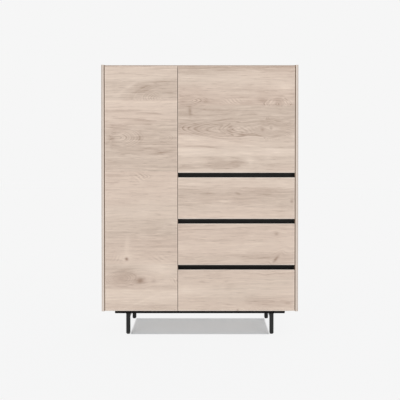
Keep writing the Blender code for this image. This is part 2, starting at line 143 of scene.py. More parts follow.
class Finish:
    """One procedural material around a Principled shader."""

    def __init__(self, name, **constants):
        self.material = bpy.data.materials.new(name)
        self.material.use_nodes = True
        self.tree = self.material.node_tree
        self.shader = self.tree.nodes["Principled BSDF"]
        for socket, value in constants.items():
            self.shader.inputs[socket.replace("_", " ").title()].default_value = value

    def node(self, kind, sockets, settings=None, output=0):
        """Add a node of a type, set it up, then fill its sockets with values or links."""
        made = self.tree.nodes.new(kind)
        for key, value in (settings or {}).items():
            if key == "stops":
                self.set_stops(made.color_ramp, value)
            elif key == "steps":
                made.color_ramp.interpolation = value
            else:
                setattr(made, key, value)
        pairs = sockets.items() if isinstance(sockets, dict) else enumerate(sockets)
        for key, value in pairs:
            self.fill(made.inputs[key], value)
        return Field(self, made.outputs[output])

    def fill(self, socket, value):
        """Link a field to a socket, or set the socket's own value."""
        if isinstance(value, Field):
            self.tree.links.new(value.socket, socket)
        else:
            socket.default_value = value

    def set_stops(self, ramp, stops):
        """Give a colour ramp its stops, as pairs of place and colour."""
        while len(ramp.elements) < len(stops):
            ramp.elements.new(1.0)
        for element, (place, colour) in zip(ramp.elements, stops):
            element.position = place
            element.color = colour

    def place(self):
        """Give the three object coordinates of the shaded point."""
        coordinates = self.node("ShaderNodeTexCoord", {}, output="Object")
        return [self.node("ShaderNodeSeparateXYZ", [coordinates], output=axis) for axis in range(3)]

    def noise(self, x, y, z, detail, roughness=0.5):
        """Give fractal noise, about 0 to 1, at a point built from three fields or numbers."""
        vector = self.node("ShaderNodeCombineXYZ", [x, y, z])
        sockets = {"Vector": vector, "Scale": 1.0, "Detail": detail, "Roughness": roughness}
        return self.node("ShaderNodeTexNoise", sockets)

    def noise_at(self, place, scales, detail=2.0):
        """Give noise at a place, with one scale for all three axes or one for each."""
        each = np.broadcast_to(scales, 3).tolist()
        return self.noise(*[axis * scale for axis, scale in zip(place, each)], detail)

    def mix(self, share, first, second):
        """Mix two colours by the share of the second."""
        sockets = {MIX_SHARE: share, MIX_FIRST: first, MIX_SECOND: second}
        return self.node("ShaderNodeMix", sockets, {"data_type": "RGBA"}, MIX_RESULT)

    def ramp(self, field, stops):
        """Turn a value into a colour through stops of place and sRGB colour."""
        stops = [(place, linear(colour)) for place, colour in stops]
        return self.node("ShaderNodeValToRGB", [field], {"stops": stops})

    def bump(self, height, depth):
        """Feed the shader's normal from a height field whose full step is depth metres."""
        normal = self.node("ShaderNodeBump", {"Height": height, "Distance": depth, "Strength": 1.0})
        self.feed("Normal", normal)

    def feed(self, socket, value):
        """Link a field to one of the shader's sockets, or set the socket's own value."""
        self.fill(self.shader.inputs[socket], value)


# Oak veneer of the fronts, in metres; the tall door's sheet and the right column's differ
TALL_DOOR_EDGE = -0.1235
OAK_REACH = 1.6
PLANK_FIRST = 0.13
PLANK_STEP = 0.11
PLANK_SPREAD = 60.0
COLUMN_SEED = 31.0
SWAY_SCALES = (2.4, 3.0)
SWAY = 0.030
TALL_PLANKS = (0.0, 0.265, 0.405, 0.925, 1.322)
COLUMN_PLANKS = (0.0, 0.388, 0.647, 0.905, 1.009, 1.288, 1.473)
# Light and dark bands as height and tone
TALL_BANDS = (
    (0.142, 0.07), (0.172, 0.08), (0.195, 0.15), (0.258, 0.17), (0.267, 0.02), (0.330, 0.04), (0.420, 0.02),
    (0.490, 0.00), (0.510, -0.03), (0.590, 0.00), (0.650, 0.01), (0.680, 0.06), (0.700, 0.06),
    (0.740, 0.02), (0.860, 0.03), (0.920, 0.00), (0.928, -0.04), (1.040, -0.05), (1.110, -0.01),
    (1.180, -0.04), (1.235, 0.00), (1.270, -0.03), (1.285, 0.06), (1.318, 0.10), (1.324, -0.03),
    (1.420, -0.03), (1.445, 0.05), (1.490, 0.05), (1.513, -0.04))
COLUMN_BANDS = (
    (0.142, 0.08), (0.175, 0.06), (0.225, 0.07), (0.240, 0.11), (0.300, 0.05), (0.375, 0.00),
    (0.401, 0.00), (0.425, 0.00), (0.455, 0.01), (0.475, 0.05), (0.515, 0.06), (0.540, 0.01),
    (0.634, -0.02), (0.660, 0.05), (0.745, -0.02), (0.765, -0.06), (0.828, -0.03), (0.845, 0.06),
    (0.892, 0.06), (0.928, 0.04), (0.942, -0.02), (1.005, 0.00), (1.015, 0.10), (1.050, 0.10),
    (1.062, -0.03), (1.072, 0.06), (1.105, 0.02), (1.135, -0.06), (1.285, -0.07), (1.400, -0.02),
    (1.428, 0.05), (1.513, -0.10))
# Hearts of flat-cut rings: place along and across, slope of the log, reach, strength, the side on
# which the arches close (0 for both), how far they run back, and the low and high edges of their plank
TALL_HEARTS = (
    (-0.200, 1.335, 0.47, 0.120, 0.6, -1, 0.20, 1.322, 1.600),
    (-0.450, 1.113, 0.48, 0.084, 1.0, 1, 0.07, 0.925, 1.322),
    (-0.205, 1.113, 0.50, 0.044, 0.5, 1, 0.03, 0.925, 1.322),
    (-0.350, 0.897, 0.33, 0.032, 1.0, 1, 0.05, 0.405, 0.925),
    (-0.445, 0.322, 0.50, 0.060, 0.35, 0, 0.20, 0.265, 0.405),
    (-0.205, 0.310, 0.60, 0.036, 0.8, 1, 0.06, 0.265, 0.405),
    (-0.180, 0.135, 0.34, 0.085, 0.6, -1, 0.20, 0.000, 0.265))
COLUMN_HEARTS = (
    (-0.060, 1.320, 0.31, 0.046, 0.8, 1, 0.08, 1.288, 1.473),
    (0.430, 1.300, 0.56, 0.060, 1.0, 0, 0.20, 1.288, 1.473),
    (0.170, 1.164, 0.210, 0.084, 1.0, -1, 0.30, 1.009, 1.288),
    (0.360, 1.166, 0.200, 0.056, 0.8, -1, 0.20, 1.009, 1.288),
    (0.130, 0.972, 0.25, 0.048, 0.4, 1, 0.12, 0.905, 1.009))
# Clouds and slanting lines: place along and across, half length, half height, tilt and darkness,
# which is below 0 where they are pale
TALL_CLOUDS = (
    (-0.320, 1.384, 0.055, 0.030, 0.15, 0.16),
    (-0.200, 1.378, 0.130, 0.038, 0.00, 0.06),
    (-0.190, 1.455, 0.120, 0.026, 0.00, 0.09),
    (-0.408, 1.390, 0.048, 0.010, 0.60, -0.12),
    (-0.190, 1.338, 0.030, 0.012, 0.00, -0.10),
    (-0.460, 1.342, 0.026, 0.012, 0.00, -0.10),
    (-0.497, 1.112, 0.022, 0.020, 0.00, 0.22),
    (-0.335, 1.112, 0.012, 0.034, 0.00, 0.12),
    (-0.240, 1.100, 0.150, 0.045, 0.00, 0.09),
    (-0.198, 1.034, 0.080, 0.007, 0.20, 0.16),
    (-0.380, 1.215, 0.150, 0.007, -0.14, 0.10),
    (-0.250, 1.245, 0.120, 0.006, -0.10, 0.10),
    (-0.480, 0.905, 0.050, 0.012, 0.10, 0.12),
    (-0.480, 0.860, 0.030, 0.008, 0.30, 0.12),
    (-0.255, 0.590, 0.130, 0.060, 0.00, 0.10),
    (-0.407, 0.508, 0.014, 0.048, 0.00, -0.14),
    (-0.410, 0.436, 0.040, 0.028, 0.00, -0.17),
    (-0.225, 0.384, 0.095, 0.034, 0.00, -0.22),
    (-0.430, 0.331, 0.080, 0.046, 0.00, 0.25),
    (-0.262, 0.312, 0.014, 0.018, 0.00, 0.12),
    (-0.180, 0.293, 0.040, 0.018, 0.00, -0.12),
    (-0.340, 0.190, 0.080, 0.006, 0.42, -0.12),
    (-0.235, 0.166, 0.080, 0.016, 0.12, 0.12))
COLUMN_CLOUDS = (
    (0.475, 1.395, 0.055, 0.026, 0.00, -0.20),
    (0.170, 1.322, 0.070, 0.014, 0.00, -0.10),
    (-0.050, 1.320, 0.034, 0.012, 0.00, -0.12),
    (0.030, 1.318, 0.014, 0.012, 0.00, 0.14),
    (0.345, 1.322, 0.026, 0.016, 0.00, 0.12),
    (0.440, 1.322, 0.024, 0.018, 0.00, 0.13),
    (0.395, 1.306, 0.022, 0.012, 0.00, -0.10),
    (0.490, 1.312, 0.030, 0.018, 0.00, -0.12),
    (-0.100, 1.246, 0.050, 0.010, 0.00, 0.14),
    (-0.053, 1.262, 0.010, 0.026, 0.00, 0.23),
    (0.085, 1.205, 0.160, 0.005, 0.20, 0.06),
    (0.300, 1.215, 0.180, 0.030, 0.00, 0.02),
    (-0.020, 1.166, 0.034, 0.016, 0.00, 0.13),
    (0.180, 1.166, 0.012, 0.022, 0.00, 0.13),
    (0.250, 1.166, 0.040, 0.012, 0.00, -0.12),
    (-0.070, 1.108, 0.100, 0.022, -0.10, -0.14),
    (0.210, 1.084, 0.060, 0.018, 0.00, 0.10),
    (-0.050, 1.038, 0.080, 0.018, 0.00, -0.09),
    (0.450, 1.038, 0.070, 0.018, 0.00, -0.08),
    (0.150, 1.092, 0.170, 0.005, -0.14, -0.12),
    (0.330, 1.064, 0.180, 0.005, -0.10, -0.12),
    (0.068, 1.059, 0.220, 0.006, -0.08, 0.12),
    (0.118, 0.970, 0.105, 0.026, 0.00, 0.13),
    (0.208, 0.980, 0.030, 0.024, 0.00, 0.12),
    (0.280, 0.985, 0.020, 0.028, 0.00, -0.12),
    (-0.080, 0.950, 0.060, 0.012, -0.20, 0.11),
    (0.385, 0.805, 0.110, 0.022, 0.00, 0.11),
    (0.140, 0.757, 0.050, 0.006, 0.00, -0.12),
    (0.250, 0.440, 0.190, 0.018, 0.00, 0.11),
    (-0.060, 0.262, 0.085, 0.022, 0.00, -0.16),
    (0.380, 0.200, 0.140, 0.034, 0.00, 0.19))
# Flecks of ray cells: place along and across, half length, half height, slope, pitch and depth
TALL_FLECKS = (
    (-0.335, 0.896, 0.026, 0.022, 0.85, 0.027, 0.15),
    (-0.220, 0.440, 0.050, 0.020, 0.68, 0.036, 0.10),
    (-0.150, 0.310, 0.022, 0.026, 1.40, 0.020, 0.12),
    (-0.465, 0.436, 0.030, 0.020, -1.60, 0.022, 0.08))
COLUMN_FLECKS = (
    (0.185, 1.318, 0.046, 0.016, 0.85, 0.023, 0.12),
    (0.395, 1.312, 0.024, 0.016, -1.20, 0.020, 0.09),
    (0.485, 1.314, 0.026, 0.018, 1.20, 0.021, 0.10),
    (0.250, 1.160, 0.050, 0.018, 1.30, 0.024, 0.10))
# Knots and small dark marks: place along and across, half length, half height, tilt and darkness
FRONT_KNOTS = (
    (-0.410, 0.434, 0.011, 0.010, 0.0, 0.66),
    (-0.334, 0.312, 0.022, 0.016, 0.1, 0.40),
    (0.350, 1.158, 0.010, 0.010, 0.0, 0.22),
    (0.398, 1.165, 0.008, 0.014, 0.0, 0.20),
    (0.054, 0.802, 0.040, 0.006, 0.0, 0.18),
    (0.213, 0.802, 0.014, 0.007, -0.3, 0.20),
    (0.515, 0.757, 0.009, 0.010, 0.0, 0.24),
    (0.431, 0.576, 0.012, 0.009, 0.0, 0.24),
    (0.426, 0.434, 0.017, 0.011, 1.0, 0.32),
    (0.012, 0.307, 0.016, 0.007, 0.0, 0.14),
    (0.146, 0.307, 0.014, 0.006, 0.2, 0.14),
    (0.212, 0.146, 0.007, 0.006, 0.0, 0.45))
# Leaves of the sides' and the top's veneer, by where each begins across the grain, and their hearts
SIDE_LEAVES = (0.0, 0.235, 0.385)
TOP_LEAVES = (0.0, 0.820, 0.980)
SIDE_HEARTS = (
    (0.75, 0.310, 0.13, 0.070, 0.7, 1, 0.62, 0.235, 0.385),
    (1.20, 0.470, 0.11, 0.080, 0.7, -1, 0.40, 0.385, 0.600),
    (0.95, -0.310, 0.12, 0.070, 0.7, -1, 0.55, -0.385, -0.235),
    (0.50, -0.160, 0.11, 0.070, 0.7, 1, 0.40, -0.235, -0.050))
TOP_HEARTS = ((-0.10, 0.900, 0.10, 0.075, 0.7, 1, 0.50, 0.820, 0.980),)
RING_STEP = 0.0072
RING_POINT = 1.6
RING_CORE = 0.7
TAIL_CORE = 0.5
BAND_STRENGTH = 1.5
OAK_TONE = 0.49
# Layers of grain: two scales per metre, shift of the seed, detail and roughness of their noise, and
# the values at which it begins and is full, or None where it swings about 0
GRAIN_LAYERS = {
    "drift": (2.0, 5.0, 0.0, 2.0, 0.50, None),
    "wander": (8.0, 24.0, 3.0, 3.0, 0.50, None),
    "straight": (78.0, 2.6, 5.0, 4.0, 0.60, None),
    "mottle": (7.0, 24.0, 29.0, 3.0, 0.60, None),
    "arched": (150.0, 3.0, 7.0, 3.0, 0.60, None),
    "fade": (7.0, 22.0, 11.0, 2.0, 0.50, (0.30, 0.58)),
    "strong": (60.0, 1.5, 37.0, 1.0, 0.50, (0.40, 0.60)),
    "streak": (5.5, 120.0, 9.0, 3.0, 0.65, None),
    "dash": (15.0, 150.0, 19.0, 1.0, 0.50, (0.56, 0.72)),
    "pale_dash": (11.0, 130.0, 41.0, 1.0, 0.50, (0.58, 0.74)),
    "fibre": (26.0, 620.0, 13.0, 2.0, 0.60, None),
    "pore": (60.0, 1500.0, 17.0, 1.0, 0.50, (0.60, 0.74)),
    "warm": (0.8, 4.0, 23.0, 2.0, 0.50, (0.40, 0.62))}
# How far drift and wander bend the grain, and how the layers lighten or darken the tone
DRIFT_ACROSS, DRIFT_ALONG = 0.034, 0.050
WANDER_ACROSS, WANDER_FLECK, WANDER_RING = 0.010, 0.035, 0.9
WANDER_KNOT = (0.012, 0.010)
KNOT_BEND_REACH, KNOT_BEND = 2.6, 0.8
STRAIGHT_TONE, MOTTLE_TONE, ARCHED_TONE = 0.43, 0.22, 0.55
STREAK_TONE, FIBRE_TONE, PALE_DASH_TONE = 0.38, 0.14, 0.12
LATE_TONE, DASH_TONE, PORE_TONE = 0.24, 0.12, 0.09
# Late wood starts, is full, ends and is gone at these shares of a ring, stronger in some rings
LATE_START, LATE_FULL, LATE_END, LATE_GONE = 0.40, 0.90, 0.92, 1.0
LATE_FAINT, LATE_STRONG = 0.3, 1.1
OAK_ROUGHNESS, PORE_ROUGHNESS, LATE_GLOSS = 0.52, 0.12, 0.05
OAK_BUMP, LATE_BUMP = 0.00012, 0.25
# Bands of a carcass panel
PANEL_BAND_SCALES, PANEL_BAND_ROUGHNESS = (0.9, 13.0), 0.55
PANEL_BAND_TONE, PANEL_PALER = 0.5, 0.02
OAK_STOPS = (
    (0.00, (148, 124, 106)), (0.25, (186, 165, 149)), (0.50, (212, 193, 177)),
    (0.75, (226, 207, 191)), (1.00, (240, 223, 208)))
WARM_OAK_STOPS = (
    (0.00, (150, 124, 105)), (0.25, (187, 164, 148)), (0.50, (214, 193, 177)),
    (0.75, (228, 208, 191)), (1.00, (241, 224, 208)))
# Edge bands are greyer, strips along the fronts' edges are paler, and greyer along the low and drawer
# edges, the drawer fronts' top edges in the grip grooves are painted near-black as shade, and the edges
# along the gaps beside the doors are painted brown as shade and are rough
GREY_OAK_STOPS = (
    (0.00, (142, 126, 114)), (0.25, (182, 169, 158)), (0.50, (208, 195, 184)),
    (0.75, (222, 210, 200)), (1.00, (236, 226, 217)))
GROOVE_SHADE_BLACK = (30, 29, 27)
GROOVE_SHADE_DEPTH = 0.0006
STRIP_WIDTH = 0.0075
STRIP_CORE = 0.4
STRIP_PALE = 0.11
STRIP_GREY = 0.6
EDGE_WRAP = 0.6
EDGE_FULL = 0.99
EDGE_BAND_DEPTH = 0.0015
EDGE_BAND_SHARE = 0.75
GAP_SHADE_BROWN = (150, 117, 88)
GAP_ROUGH = 0.40
# How much darker and browner the doors' edge walls inside the gaps are painted, as shade
SIDE_BAND_SHADE = 0.25
SIDE_BAND_SHADE_BROWN = 0.60
# A line of brown painted shade at the side panels' inner front corners: how far back it runs, and its half
# width
GAP_SHADE_LINE_DEPTH = 0.020
GAP_SHADE_LINE_HALF_WIDTH = 0.0026
ARRIS_WIDTH = 0.0050
ARRIS_SOFT = 0.0010
# Front edges: tone, how the left side differs at the floor and by height, how much darker the outer
# strip is, and how grey the edge is
SIDE_EDGE = (0.65, 0.27, 0.26, 0.36, 1.0)
# The partition's edge, seen in the gap between the doors, is painted dark, grey and brown as shade, and the
# top's edge, recessed above the doors, dark and grey as shade
PARTITION_EDGE_SHADE = (0.06, 0.0, 0.0, 0.0, 0.40)
TOP_EDGE_SHADE = (0.30, 0.0, 0.0, 0.0, 1.0)
UPRIGHT_SEED, LEVEL_SEED = 4.0, 7.0


def plank_seed(finish, across, edges):
    """Give each plank between edges its own number, from a ramp that stays level inside a plank."""
    greys = [PLANK_FIRST + PLANK_STEP * number for number in range(len(edges))]
    stops = [(edge / OAK_REACH, (grey, grey, grey, 1.0)) for edge, grey in zip(edges, greys)]
    settings = {"stops": stops, "steps": "CONSTANT"}
    return finish.node("ShaderNodeValToRGB", [across / OAK_REACH], settings) * PLANK_SPREAD


def band_tone(finish, height, bands):
    """Give the tone of soft bands, from a ramp over the height."""
    stops = [(place / OAK_REACH, (0.5 + tone,) * 3 + (1.0,)) for place, tone in bands]
    return finish.node("ShaderNodeValToRGB", [height / OAK_REACH], {"stops": stops}) - 0.5


def near(field, line, reach):
    """Give 1 at a line and fall smoothly to 0 at a reach from it."""
    return 1.0 - (field - line).math("ABSOLUTE").rise(STRIP_CORE * reach, reach)


def patch(along, across, spot):
    """Give a soft patch: the natural exponent of minus its squared distance in half lengths."""
    place_along, place_across, half_length, half_height, tilt = spot
    out_along = (along - place_along) / half_length
    out_across = (across - place_across - (along - place_along) * tilt) / half_height
    return (-(out_along * out_along + out_across * out_across)).math("EXPONENT")


def fleck(along, across, spot):
    """Give slanting pale and dark lines in a soft patch: a sine of the way across the lines."""
    *place, slope, pitch = spot
    lines = ((along + (across - place[1]) / slope) * (2 * math.pi / pitch)).math("SINE")
    return patch(along, across, (*place, 0.0)) * lines


def ring_distance(along, across, height, hearts, inside, nearest, shown):
    """Give the distance to the heart that shows, and how far the rings round hearts show.

    A distance is a root of powers of the height over a heart and of the slope times the way along,
    so rings are nested arches, a little pointed because the power is below 2.
    """
    for heart_along, heart_across, slope, reach, strength, side, tail, low, high in hearts:
        up = (height - heart_across).math("ABSOLUTE") ** RING_POINT
        way = (along - heart_along) * side if side else (along - heart_along).math("ABSOLUTE")
        own = (up + (way.math("MAXIMUM", 0.0) * slope) ** RING_POINT) ** (1 / RING_POINT)
        mine = (1.0 - own.rise(RING_CORE * reach, reach)) * way.rise(-tail, -TAIL_CORE * tail)
        mine = mine * across.above(low) * across.below(high) * inside
        nearest = nearest + (own - nearest) * mine
        shown = (mine * strength).math("MAXIMUM", shown)
    return nearest, shown


def oak_grain(finish, along, across, seed, figure, sheets=(), knots=()):
    """Add to a tone the grain of oak: lines along the grain, arches round hearts, clouds, knots, pores.

    Each sheet gives where it lies, and its hearts, clouds and flecks.
    """
    def layer(name, first, second):
        scale_first, scale_second, shift, detail, roughness, limits = GRAIN_LAYERS[name]
        made = finish.noise(first * scale_first, second * scale_second, seed + shift, detail, roughness)
        return made.rise(*limits) if limits else made - 0.5

    drift, wander = layer("drift", along, across), layer("wander", along, across)
    height = across + drift * DRIFT_ACROSS + wander * WANDER_ACROSS
    slide = along + drift * DRIFT_ALONG
    for knot_along, knot_across, half_length, half_height, tilt, depth in knots:
        reaches = (KNOT_BEND_REACH * half_length, KNOT_BEND_REACH * half_height)
        bend = patch(along, across, (knot_along, knot_across, *reaches, tilt))
        height = height - (across - knot_across) * bend * KNOT_BEND
        core = (knot_along, knot_across, half_length, half_height, tilt)
        at_along, at_across = along + wander * WANDER_KNOT[0], across + wander * WANDER_KNOT[1]
        figure = figure - patch(at_along, at_across, core) * depth
    nearest, shown = 0.0, 0.0
    for inside, hearts, clouds, flecks in sheets:
        darkness = 0.0
        for *spot, depth in clouds:
            darkness = patch(slide, height, spot) * depth + darkness
        for *spot, depth in flecks:
            darkness = fleck(slide + wander * WANDER_FLECK, height, spot) * depth + darkness
        figure = figure - darkness * inside
        nearest, shown = ring_distance(slide, across, height, hearts, inside, nearest, shown)
    line = layer("straight", height, along) * STRAIGHT_TONE + layer("mottle", along, height) * MOTTLE_TONE
    late = 0.0
    if sheets:
        line = line + (layer("arched", nearest, along) * ARCHED_TONE - line) * shown
        ring = (nearest / RING_STEP + wander * WANDER_RING).math("FRACT")
        late = ring.rise(LATE_START, LATE_FULL) * (1.0 - ring.rise(LATE_END, LATE_GONE)) * shown
        strong = layer("strong", nearest, along) * LATE_STRONG + LATE_FAINT
        late = late * layer("fade", along, across) * strong
    pore = layer("pore", along, across)
    figure = figure + line + layer("streak", along, height) * STREAK_TONE
    figure = figure + layer("fibre", along, across) * FIBRE_TONE
    figure = figure + layer("pale_dash", along, height) * PALE_DASH_TONE
    figure = figure - late * LATE_TONE - layer("dash", along, height) * DASH_TONE - pore * PORE_TONE
    return figure, layer("warm", along, across), pore, late


def dress_oak(finish, figure, warm, pore, late, grey=0.0, groove_shade=0.0, gap_shade=0.0):
    """Colour the figure cool to warm to grey, and to near-black and brown painted shade; pores are rough,
    late wood glossy.
    """
    colour = finish.mix(warm, finish.ramp(figure, OAK_STOPS), finish.ramp(figure, WARM_OAK_STOPS))
    if isinstance(grey, Field):
        colour = finish.mix(grey, colour, finish.ramp(figure, GREY_OAK_STOPS))
    # Painted shade: near-black on the drawer fronts' top edges in the grooves
    if isinstance(groove_shade, Field):
        colour = finish.mix(groove_shade, colour, linear(GROOVE_SHADE_BLACK))
    # Painted shade: brown in the gaps beside the doors
    if isinstance(gap_shade, Field):
        colour = finish.mix(gap_shade, colour, linear(GAP_SHADE_BROWN))
    finish.feed("Base Color", colour)
    rough = OAK_ROUGHNESS + pore * PORE_ROUGHNESS - late * LATE_GLOSS + gap_shade * GAP_ROUGH
    finish.feed("Roughness", rough)
    finish.bump(0.0 - pore - late * LATE_BUMP, OAK_BUMP)
    return finish.material


def upright_edges(x):
    """Give the strips along the fronts' left and right edges."""
    strips = near(x, TALL_DOOR_EDGE, STRIP_WIDTH)
    for upright in (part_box("tall_door")[0].x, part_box("upper_door")[1].x):
        strips = strips.math("MAXIMUM", near(x, upright, STRIP_WIDTH))
    return strips


def level_edges(z, right):
    """Give the strips along the fronts' low edges and the drawers' high ones."""
    drawer_boxes = [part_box(name) for name in nodes_with("drawer_front")]
    column_levels = [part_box("upper_door")[0].z, *[corner.z for box in drawer_boxes for corner in box]]
    strips = near(z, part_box("tall_door")[0].z, STRIP_WIDTH)
    for level in column_levels:
        strips = strips.math("MAXIMUM", near(z, level, STRIP_WIDTH) * right)
    return strips


def groove_shade_edges(z, right):
    """Give the flat top edges of the drawer fronts, in the grip grooves, that carry near-black painted
    shade.
    """
    tops = [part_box(name)[1].z for name in nodes_with("drawer_front")]
    groove_shade = 0.0
    for top in tops:
        groove_shade = z.above(top - GROOVE_SHADE_DEPTH) * z.below(top + GROOVE_SHADE_DEPTH) * right + groove_shade
    return groove_shade


def oak_front():
    """Horizontal-grain veneer of the five fronts, with hearts, clouds and knots in their places."""
    finish = Finish("oak_front", roughness=0.5)
    x, y, z = finish.place()
    across = z + (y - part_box("tall_door")[0].y) * EDGE_WRAP
    right = x.above(TALL_DOOR_EDGE)
    tall_seed = plank_seed(finish, across, TALL_PLANKS)
    column_seed = plank_seed(finish, across, COLUMN_PLANKS) + COLUMN_SEED
    seed = tall_seed + (column_seed - tall_seed) * right
    sway = (finish.noise(x * SWAY_SCALES[0], across * SWAY_SCALES[1], seed, 2.0) - 0.5) * SWAY
    tall_tone = band_tone(finish, across + sway, TALL_BANDS)
    column_tone = band_tone(finish, across + sway, COLUMN_BANDS)
    tone = (tall_tone + (column_tone - tall_tone) * right) * BAND_STRENGTH + OAK_TONE
    sheets = ((1.0 - right, TALL_HEARTS, TALL_CLOUDS, TALL_FLECKS),
              (right, COLUMN_HEARTS, COLUMN_CLOUDS, COLUMN_FLECKS))
    figure, *rest = oak_grain(finish, x, across, seed, tone, sheets, FRONT_KNOTS)
    face = y.below(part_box("tall_door")[0].y + EDGE_BAND_DEPTH)
    # Strips along the fronts' edges: paler on the face, and greyer along the low and drawer edges
    uprights, levels = upright_edges(x), level_edges(z, right) * face
    pale_strips = (uprights * face).math("MAXIMUM", levels)
    # Painted shade: the doors' edge walls inside the gaps are darker and brown
    shaded_side_band = uprights.above(EDGE_FULL) * (1.0 - face)
    figure = figure + pale_strips * STRIP_PALE - shaded_side_band * SIDE_BAND_SHADE
    grey, gap_shade = levels * STRIP_GREY, shaded_side_band * SIDE_BAND_SHADE_BROWN
    # Painted shade: the drawer fronts' top edges in the grooves are near-black
    return dress_oak(finish, figure, *rest, grey=grey, groove_shade=groove_shade_edges(z, right), gap_shade=gap_shade)


def oak_panel(name, along_axis, across_axis, edge_axis, seed, edge=None, leaves=(0.0,), hearts=()):
    """Veneer of a carcass panel, its grain along one axis and wrapped over its edges.

    A front edge is its place in y and values in SIDE_EDGE's order; what isn't grey of it is painted brown
    as shade.
    """
    finish = Finish(name, roughness=0.5)
    place = x, y, z = finish.place()
    along = place[along_axis]
    across = place[across_axis] + place[edge_axis] * EDGE_WRAP
    leaf = plank_seed(finish, across.math("ABSOLUTE"), leaves) + seed
    scale_along, scale_across = PANEL_BAND_SCALES
    band = finish.noise(along * scale_along, across * scale_across, leaf, 3.0, PANEL_BAND_ROUGHNESS) - 0.5
    tone = OAK_TONE + PANEL_PALER + band * PANEL_BAND_TONE
    sheets = ((1.0, hearts, (), ()),) if hearts else ()
    figure, *rest = oak_grain(finish, along, across, leaf, tone, sheets)
    if edge is None:
        return dress_oak(finish, figure, *rest)
    front, edge_tone, left_more, left_fall, darker, greyness = edge
    banded = y.below(front + EDGE_BAND_DEPTH) * EDGE_BAND_SHARE
    inner, outer = [corner.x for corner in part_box("right_side")]
    out = x.math("ABSOLUTE")
    strip = out.rise(outer - ARRIS_WIDTH - ARRIS_SOFT, outer - ARRIS_WIDTH + ARRIS_SOFT)
    edge_tone = edge_tone + x.below(0.0) * (left_more - z * left_fall)
    figure = figure + (edge_tone - strip * darker - figure) * banded
    # Painted shade: a brown line at the side panels' inner front corner, running a little way back into the
    # gap by the doors
    gap_shade_line = near(out, inner, GAP_SHADE_LINE_HALF_WIDTH) * y.below(front + GAP_SHADE_LINE_DEPTH)
    gap_shade = (banded * (1.0 - greyness)).math("MAXIMUM", gap_shade_line)
    return dress_oak(finish, figure, *rest, grey=banded * greyness, gap_shade=gap_shade)


# Fine finishes: scales per metre of a grain and of a cloud, the cloud's share of the tone, the least
# roughness and what the grain adds to it, and the depth of the bump in metres
BOARD = (420.0, 6.0, 0.2, 0.48, 0.14, 0.00004)
POWDER = (900.0, 14.0, 0.3, 0.42, 0.16, 0.00006)
ANODISED = ((3.0, 2600.0, 2600.0), (12.0, 60.0, 60.0), 0.4, 0.38, 0.20, 0.00002)
PLASTIC = (1800.0, None, 0.0, 0.45, 0.2, 0.00003)
SOFT = (700.0, None, 0.0, 0.25, 0.2, 0.0)
BOARD_STOPS = ((0.25, (212, 204, 192)), (0.50, (224, 217, 206)), (0.75, (232, 227, 218)))
POWDER_SHADES = ((0.25, 0.78), (0.55, 1.0), (0.80, 1.28))
ANODISED_STOPS = ((0.25, (20, 19, 18)), (0.55, (28, 27, 25)), (0.80, (38, 37, 35)))
PLASTIC_STOPS = ((0.3, (20, 20, 20)), (0.7, (32, 32, 32)))
SOFT_STOPS = ((0.3, (206, 206, 203)), (0.7, (222, 222, 219)))
# Plated steel: scales per metre across and along its lines and of its cloud, the bump, its darkest and
# lightest shares of the colour, the least roughness and what lines and cloud add to it
ROLLED_SCALE, ROLLED_ALONG_SCALE, PLATED_CLOUD_SCALE, PLATED_BUMP = 1500.0, 18.0, 55.0, 0.00001
PLATED_DARK, PLATED_LIGHT = 0.86, 1.12
PLATED_ROUGHNESS, ROLLED_ROUGHNESS, CLOUD_ROUGHNESS = 0.22, 0.10, 0.12
# Shade and gloss of the black coats, the rails' coat darker than the legs' as painted shade under the body,
# and colours of the metals
SHADED_RAIL_COAT, LEG_COAT, BOLT_COAT = (17, 0.08), (40, 0.25), (30, 0.25)
NICKEL, NICKEL_SCREW = (188, 187, 184), (196, 195, 192)
ZINC, ZINC_SCREW = (172, 174, 177), (180, 182, 185)


def fine_finish(name, settings, stops, **constants):
    """Colour a fine grain, with a cloud where it has one; roughness and bump follow the grain."""
    grain_scales, cloud_scales, cloud_share, least_rough, rough_step, bump = settings
    finish = Finish(name, **constants)
    place = finish.place()
    tone = grain = finish.noise_at(place, grain_scales)
    if cloud_share:
        tone = grain * (1 - cloud_share) + finish.noise_at(place, cloud_scales) * cloud_share
    finish.feed("Base Color", finish.ramp(tone, stops))
    finish.feed("Roughness", least_rough + grain * rough_step)
    if bump:
        finish.bump(grain, bump)
    return finish


@cache
def board():
    """Pale faced board with a fine even fleck."""
    return fine_finish("pale_board", BOARD, BOARD_STOPS, roughness=0.55).material


def powder_coat(name, shade, gloss):
    """Black powder coat: a fine orange-peel skin, a little greyer where it stands proud."""
    stops = [(stop, (share * shade,) * 3) for stop, share in POWDER_SHADES]
    finish = fine_finish(name, POWDER, stops, roughness=0.5)
    finish.feed("Specular IOR Level", gloss)
    return finish.material


def black_anodised():
    """Matt black aluminium with faint drawing lines along the rail."""
    return fine_finish("black_anodised", ANODISED, ANODISED_STOPS, roughness=0.45, metallic=0.3).material


@cache
def glide_plastic():
    """Black moulded plastic with a fine spark-eroded grain."""
    return fine_finish("black_plastic", PLASTIC, PLASTIC_STOPS, roughness=0.55).material


@cache
def soft_pad():
    """Milky soft plastic with a faint cloud."""
    return fine_finish("soft_pad", SOFT, SOFT_STOPS, roughness=0.35).material


